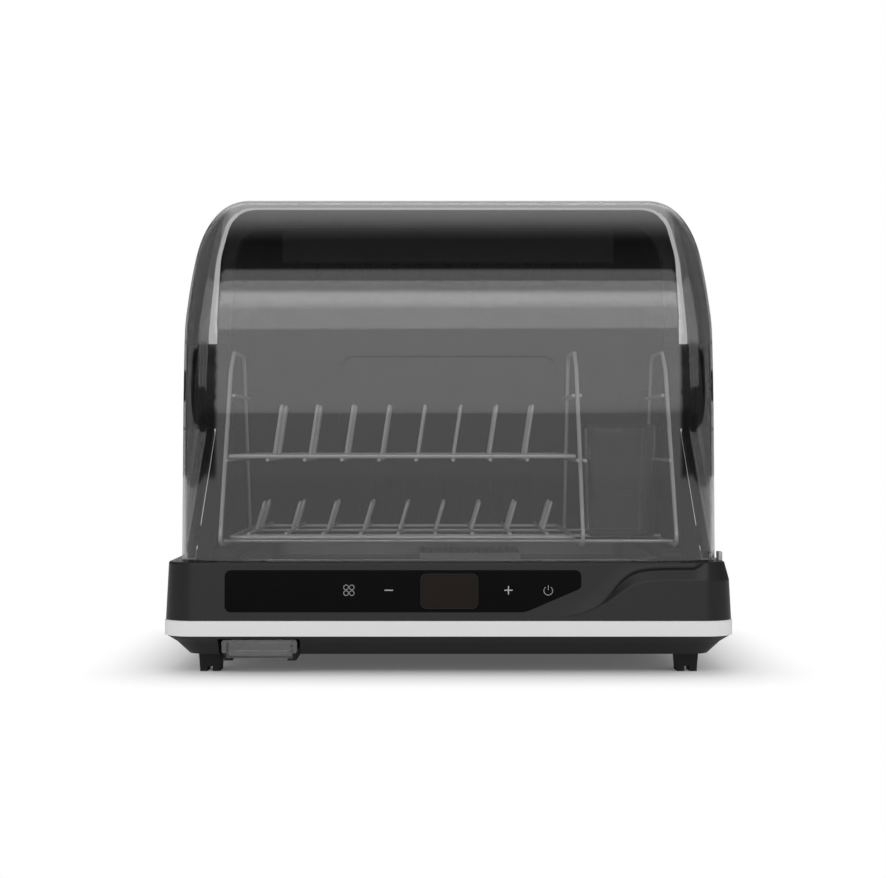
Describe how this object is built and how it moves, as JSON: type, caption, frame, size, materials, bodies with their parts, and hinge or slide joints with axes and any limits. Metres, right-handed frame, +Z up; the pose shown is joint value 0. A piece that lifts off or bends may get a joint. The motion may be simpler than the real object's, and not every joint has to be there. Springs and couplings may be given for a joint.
{
  "type": "dish sterilizer cabinet",
  "caption": "Countertop dish dryer and sterilizer with a swing-up smoked visor, wire racks, touch panel, fan heater, lamp and drip drawer.",
  "frame": {"origin": "on the table, under the middle of the base", "axes": "+X to the right seen from the front, +Y to the back, +Z up; the front looks to -Y"},
  "size_m": [0.4616, 0.3516, 0.4028],
  "materials": {
    "black_shell": "satin moulded black",
    "black_pan": "fine-grained moulded black",
    "black_hub": "satin black",
    "silver_paint": "satin silver paint",
    "gloss_panel": "high gloss",
    "smoked_window": "smoked, polished",
    "smoked_visor": "smoked clear, polished",
    "smoked_drawer": "smoked clear",
    "clear_basket": "clear moulded",
    "circuit_board": "lacquered laminate",
    "display_parts": "moulded",
    "contact_rubber": "soft black rubber",
    "steel_screw": "zinc plated",
    "bush_brass": "turned",
    "latch_grey": "satin moulded grey",
    "damper_plastic": "natural nylon",
    "heater_aluminium": "bare fins",
    "tub_steel": "brushed stainless",
    "lamp_glass": "clear quartz",
    "rack_chrome": "polished wire"
  },
  "bodies": {
    "cabinet": {"base_pan": "black_pan", "silver_trim": "silver_paint", "base_shell": "black_shell", "deck_panel": "black_shell", "side_latch": "latch_grey", "base_screws": "steel_screw", "feet": "black_pan", "foot_pads": "contact_rubber", "control_panel": "gloss_panel", "display_window": "smoked_window", "display_module": "display_parts", "control_board": "circuit_board", "touch_pads": "contact_rubber", "power_board": "circuit_board", "uv_ballast": "display_parts", "cord_gland": "contact_rubber", "cord_plate": "black_shell", "fan_frame": "black_pan", "fan_motor": "display_parts", "heater_frame": "damper_plastic", "heater_fins": "heater_aluminium", "air_duct": "black_pan", "thermal_fuse": "display_parts", "drain_tub": "tub_steel", "outlet_collar": "tub_steel", "air_grille": "tub_steel", "drawer_rail_left": "black_pan", "drawer_rail_right": "black_pan", "rear_housing": "black_shell", "inner_liner": "black_pan", "rear_vent": "black_shell", "housing_screws": "steel_screw", "side_cheek_left": "black_shell", "side_cheek_right": "black_shell", "rack_sills": "black_shell", "hub_boss_left": "black_hub", "hub_boss_right": "black_hub", "hinge_bushes": "bush_brass", "hinge_dampers": "damper_plastic", "reed_switch": "display_parts", "uv_tube": "lamp_glass", "lamp_holders": "black_hub", "uv_guard": "black_pan", "lid_bumpers": "contact_rubber", "rack_stand": "rack_chrome", "lower_rack": "rack_chrome"},
    "lid": {"lid_visor": "smoked_visor", "lid_arm_left": "black_hub", "lid_arm_right": "black_hub", "hub_cap_left": "black_hub", "hub_cap_right": "black_hub", "hub_ring_left": "black_hub", "hub_ring_right": "black_hub", "lid_magnet": "steel_screw", "hinge_pins": "steel_screw"},
    "fan_rotor": {"fan_rotor": "black_hub"},
    "drip_drawer": {"drip_drawer": "smoked_drawer"},
    "upper_rack": {"upper_rack": "rack_chrome"},
    "cutlery_basket": {"cutlery_basket": "clear_basket"}
  },
  "joints": [
    {"name": "lid_hinge", "type": "hinge", "parent": "cabinet", "child": "lid", "pos_m": [0, 0, 0.2374], "axis": [-1, 0, 0], "range_deg": [0, 78]},
    {"name": "fan_spin", "type": "hinge", "parent": "cabinet", "child": "fan_rotor", "pos_m": [0.02, 0.062, 0.035], "axis": [0, 0, 1], "continuous": true},
    {"name": "drawer_slide", "type": "slide", "parent": "cabinet", "child": "drip_drawer", "axis": [0, -1, 0], "range_m": [0, 0.12]},
    {"name": "rack_lift", "type": "slide", "parent": "cabinet", "child": "upper_rack", "axis": [0, 0, 1], "range_m": [0, 0.04]},
    {"name": "basket_lift", "type": "slide", "parent": "cabinet", "child": "cutlery_basket", "axis": [0, 0, 1], "range_m": [0, 0.12]}
  ]
}
